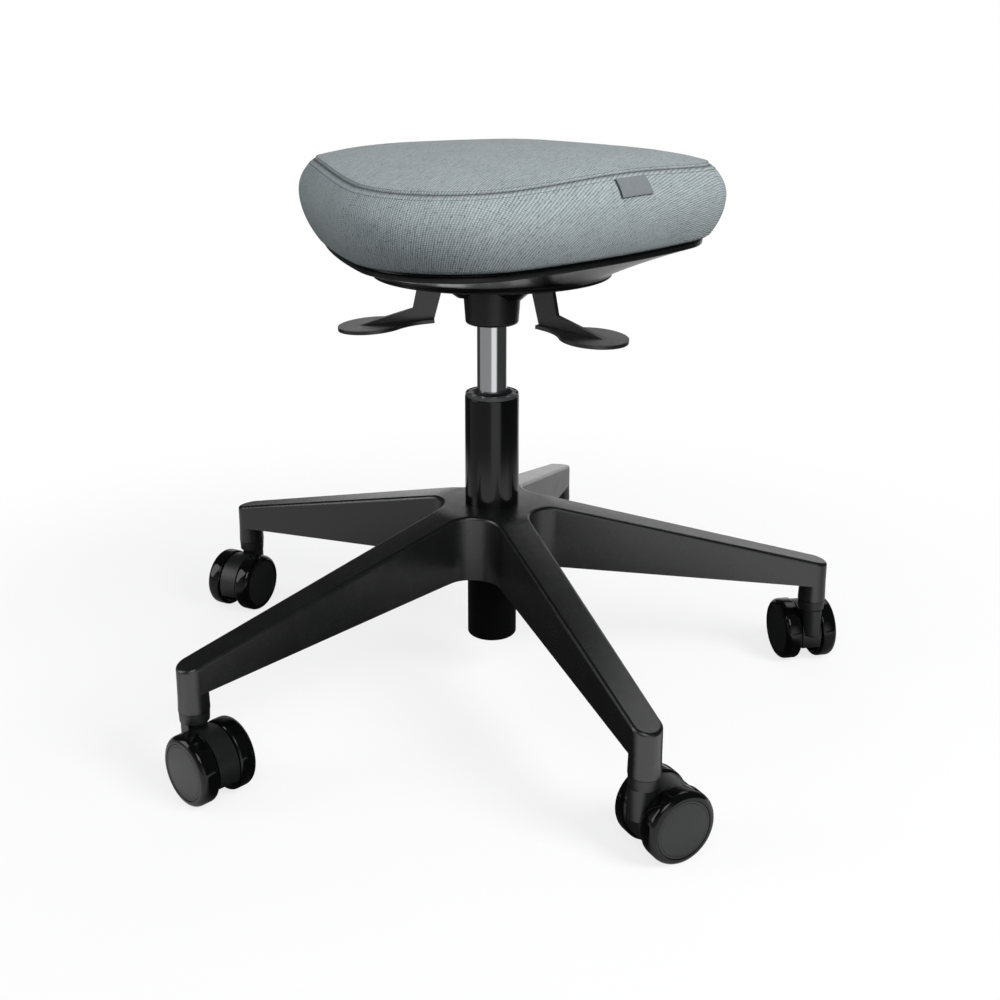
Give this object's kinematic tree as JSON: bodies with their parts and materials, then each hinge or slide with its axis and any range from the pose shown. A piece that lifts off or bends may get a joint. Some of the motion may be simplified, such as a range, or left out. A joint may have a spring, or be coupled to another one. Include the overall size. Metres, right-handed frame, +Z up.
{
  "type": "ergonomic stool",
  "caption": "Swivel stool with a padded three-cornered fabric seat, tilting seat mechanism, gas lift with spoon levers and a five-star base on twin-wheel casters.",
  "frame": {"origin": "point on the floor under the column's axis", "axes": "+Z up, -Y towards the seat's nose, +X to the sitter's left as seen from the front"},
  "size_m": [0.6659, 0.6473, 0.516],
  "materials": {
    "base_plastic": "fine satin texture",
    "tube_black": "gloss",
    "bush_plastic": "satin",
    "bright_chrome": "bright drawn",
    "steel": "plated",
    "plate_steel": "black powder coat",
    "housing_plastic": "satin",
    "pan_plastic": "satin",
    "lever_plastic": "satin",
    "wheel_gloss": "high gloss",
    "cap_plastic": "matte",
    "hood_plastic": "satin",
    "board_wood": "plywood",
    "foam": "open foam",
    "cover_fabric": "fine twill weave",
    "label_fabric": "plain woven tape"
  },
  "bodies": {
    "base": {"star_base": "base_plastic", "column_tube": "tube_black", "guide_bush": "bush_plastic", "thrust_bearing": "steel", "caster_stem_1": "steel", "caster_stem_2": "steel", "caster_stem_3": "steel", "caster_stem_4": "steel", "caster_stem_5": "steel"},
    "swivel": {"piston_rod": "steel", "piston": "steel", "rod_clip": "steel"},
    "lift": {"gas_cylinder": "bright_chrome", "cylinder_gland": "steel", "mechanism_housing": "housing_plastic", "lever_pins": "steel", "trunnion_pins": "steel"},
    "valve": {"valve_button": "steel"},
    "height_lever": {"height_lever": "lever_plastic"},
    "tilt_lever": {"tilt_lever": "lever_plastic"},
    "seat": {"tilt_plate": "plate_steel", "plate_bolts": "steel", "seat_board": "board_wood", "seat_pan": "pan_plastic", "pan_screws": "steel", "skirt_ring": "pan_plastic", "foam_pad": "foam", "fabric_cover": "cover_fabric", "label_tab": "label_fabric"},
    "caster_1": {"caster_hood_1": "hood_plastic", "caster_axle_1": "steel"},
    "wheel_left_1": {"wheel_left_1": "wheel_gloss", "cap_left_1": "cap_plastic"},
    "wheel_right_1": {"wheel_right_1": "wheel_gloss", "cap_right_1": "cap_plastic"},
    "caster_2": {"caster_hood_2": "hood_plastic", "caster_axle_2": "steel"},
    "wheel_left_2": {"wheel_left_2": "wheel_gloss", "cap_left_2": "cap_plastic"},
    "wheel_right_2": {"wheel_right_2": "wheel_gloss", "cap_right_2": "cap_plastic"},
    "caster_3": {"caster_hood_3": "hood_plastic", "caster_axle_3": "steel"},
    "wheel_left_3": {"wheel_left_3": "wheel_gloss", "cap_left_3": "cap_plastic"},
    "wheel_right_3": {"wheel_right_3": "wheel_gloss", "cap_right_3": "cap_plastic"},
    "caster_4": {"caster_hood_4": "hood_plastic", "caster_axle_4": "steel"},
    "wheel_left_4": {"wheel_left_4": "wheel_gloss", "cap_left_4": "cap_plastic"},
    "wheel_right_4": {"wheel_right_4": "wheel_gloss", "cap_right_4": "cap_plastic"},
    "caster_5": {"caster_hood_5": "hood_plastic", "caster_axle_5": "steel"},
    "wheel_left_5": {"wheel_left_5": "wheel_gloss", "cap_left_5": "cap_plastic"},
    "wheel_right_5": {"wheel_right_5": "wheel_gloss", "cap_right_5": "cap_plastic"}
  },
  "joints": [
    {"name": "column_swivel", "type": "hinge", "parent": "base", "child": "swivel", "pos_m": [0, 0, 0.05], "axis": [0, 0, 1], "continuous": true},
    {"name": "column_lift", "type": "slide", "parent": "swivel", "child": "lift", "axis": [0, 0, 1], "range_m": [-0.062, 0.065]},
    {"name": "valve_press", "type": "slide", "parent": "lift", "child": "valve", "axis": [0, 0, 1], "range_m": [-0.0051, 0]},
    {"name": "height_lever_lift", "type": "hinge", "parent": "lift", "child": "height_lever", "pos_m": [-0.03338, -0.01349, 0.392], "axis": [-0.3746, 0.9272, 0], "range_deg": [0, 8], "stiffness_Nm_per_rad": 3, "springref_deg": -5.73},
    {"name": "tilt_lever_lift", "type": "hinge", "parent": "lift", "child": "tilt_lever", "pos_m": [0.03338, -0.01349, 0.392], "axis": [-0.3746, -0.9272, 0], "range_deg": [0, 8], "stiffness_Nm_per_rad": 3, "springref_deg": -5.73},
    {"name": "seat_tilt", "type": "hinge", "parent": "lift", "child": "seat", "pos_m": [0, 0, 0.4], "axis": [1, 0, 0], "range_deg": [-5, 8]},
    {"name": "caster_swivel_1", "type": "hinge", "parent": "base", "child": "caster_1", "pos_m": [0, 0.318, 0.065], "axis": [0, 0, 1], "continuous": true},
    {"name": "wheel_roll_left_1", "type": "hinge", "parent": "caster_1", "child": "wheel_left_1", "pos_m": [-0.01936, 0.31562, 0.03], "axis": [0.1219, -0.9925, 0], "continuous": true},
    {"name": "wheel_roll_right_1", "type": "hinge", "parent": "caster_1", "child": "wheel_right_1", "pos_m": [-0.01936, 0.31562, 0.03], "axis": [0.1219, -0.9925, 0], "continuous": true},
    {"name": "caster_swivel_2", "type": "hinge", "parent": "base", "child": "caster_2", "pos_m": [-0.30244, 0.09827, 0.065], "axis": [0, 0, 1], "continuous": true},
    {"name": "wheel_roll_left_2", "type": "hinge", "parent": "caster_2", "child": "wheel_left_2", "pos_m": [-0.30616, 0.07913, 0.03], "axis": [0.9816, -0.1908, 0], "continuous": true},
    {"name": "wheel_roll_right_2", "type": "hinge", "parent": "caster_2", "child": "wheel_right_2", "pos_m": [-0.30616, 0.07913, 0.03], "axis": [0.9816, -0.1908, 0], "continuous": true},
    {"name": "caster_swivel_3", "type": "hinge", "parent": "base", "child": "caster_3", "pos_m": [-0.18692, -0.25727, 0.065], "axis": [0, 0, 1], "continuous": true},
    {"name": "wheel_roll_left_3", "type": "hinge", "parent": "caster_3", "child": "wheel_left_3", "pos_m": [-0.16986, -0.26672, 0.03], "axis": [0.4848, 0.8746, 0], "continuous": true},
    {"name": "wheel_roll_right_3", "type": "hinge", "parent": "caster_3", "child": "wheel_right_3", "pos_m": [-0.16986, -0.26672, 0.03], "axis": [0.4848, 0.8746, 0], "continuous": true},
    {"name": "caster_swivel_4", "type": "hinge", "parent": "base", "child": "caster_4", "pos_m": [0.18692, -0.25727, 0.065], "axis": [0, 0, 1], "continuous": true},
    {"name": "wheel_roll_left_4", "type": "hinge", "parent": "caster_4", "child": "wheel_left_4", "pos_m": [0.20118, -0.24397, 0.03], "axis": [-0.682, 0.7314, 0], "continuous": true},
    {"name": "wheel_roll_right_4", "type": "hinge", "parent": "caster_4", "child": "wheel_right_4", "pos_m": [0.20118, -0.24397, 0.03], "axis": [-0.682, 0.7314, 0], "continuous": true},
    {"name": "caster_swivel_5", "type": "hinge", "parent": "base", "child": "caster_5", "pos_m": [0.30244, 0.09827, 0.065], "axis": [0, 0, 1], "continuous": true},
    {"name": "wheel_roll_left_5", "type": "hinge", "parent": "caster_5", "child": "wheel_left_5", "pos_m": [0.29419, 0.11594, 0.03], "axis": [-0.9063, -0.4226, 0], "continuous": true},
    {"name": "wheel_roll_right_5", "type": "hinge", "parent": "caster_5", "child": "wheel_right_5", "pos_m": [0.29419, 0.11594, 0.03], "axis": [-0.9063, -0.4226, 0], "continuous": true}
  ],
  "couplings": [
    {"joint": "valve_press", "follows": "height_lever_lift", "m_per_rad": -0.036}
  ]
}
